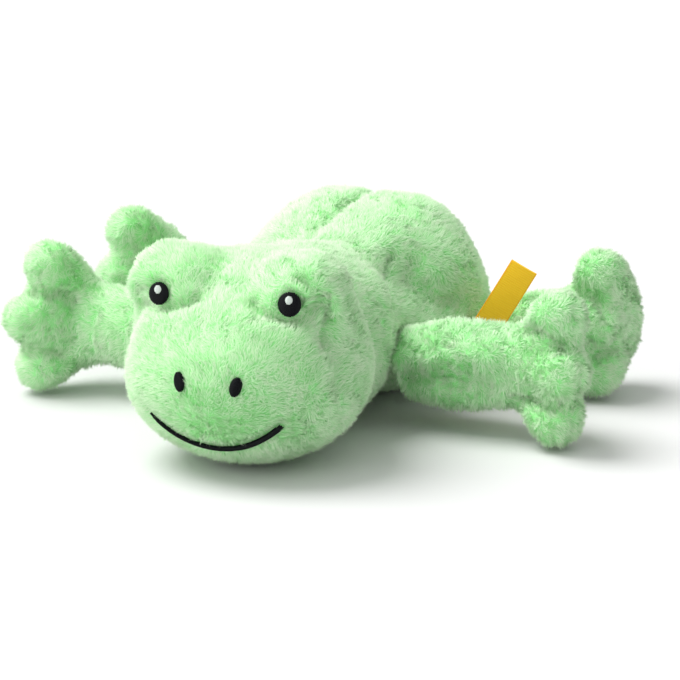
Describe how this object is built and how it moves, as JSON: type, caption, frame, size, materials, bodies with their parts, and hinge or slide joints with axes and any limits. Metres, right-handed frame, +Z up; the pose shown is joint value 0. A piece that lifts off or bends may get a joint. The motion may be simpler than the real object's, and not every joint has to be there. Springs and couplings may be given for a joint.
{
  "type": "plush frog",
  "caption": "Stuffed short-pile plush frog lying on its belly, with jointed limbs and head, embroidered face and a bare woven side label.",
  "frame": {"origin": "on the table, under the middle of the whole frog", "axes": "+Z up, the nose towards -Y, the frog's own left side towards +X"},
  "size_m": [0.265, 0.2186, 0.0903],
  "materials": {
    "plush": "short cut pile, laid by hand",
    "filling": "loose polyester fibre",
    "thread": "satin stitch in lustrous thread",
    "glint_thread": "satin stitch in lustrous thread",
    "label": "close woven ribbon"
  },
  "bodies": {
    "torso": {"torso_cover": "plush", "torso_filling": "filling", "flank_label": "label"},
    "head": {"head_cover": "plush", "head_filling": "filling", "mouth": "thread", "eye_left": "thread", "eye_right": "thread", "eye_glint_left": "glint_thread", "eye_glint_right": "glint_thread", "nostril_left": "thread", "nostril_right": "thread"},
    "arm_left": {"arm_left_cover": "plush", "arm_left_filling": "filling"},
    "arm_right": {"arm_right_cover": "plush", "arm_right_filling": "filling"},
    "leg_left": {"leg_left_cover": "plush", "leg_left_filling": "filling"},
    "leg_right": {"leg_right_cover": "plush", "leg_right_filling": "filling"}
  },
  "joints": [
    {"name": "neck_nod", "type": "hinge", "parent": "torso", "child": "head", "pos_m": [0.0035, -0.01639, 0.037], "axis": [0.9986, 0.0523, 0], "range_deg": [-15, 15]},
    {"name": "arm_left_lift", "type": "hinge", "parent": "torso", "child": "arm_left", "pos_m": [0.0575, 0.01161, 0.026], "axis": [0, -1, 0], "range_deg": [-45, 50]},
    {"name": "arm_right_lift", "type": "hinge", "parent": "torso", "child": "arm_right", "pos_m": [-0.0505, 0.01161, 0.026], "axis": [0, 1, 0], "range_deg": [-45, 50]},
    {"name": "leg_left_lift", "type": "hinge", "parent": "torso", "child": "leg_left", "pos_m": [0.0755, 0.06961, 0.026], "axis": [0, -1, 0], "range_deg": [-45, 45]},
    {"name": "leg_right_lift", "type": "hinge", "parent": "torso", "child": "leg_right", "pos_m": [-0.0685, 0.06961, 0.026], "axis": [0, 1, 0], "range_deg": [-45, 45]}
  ]
}
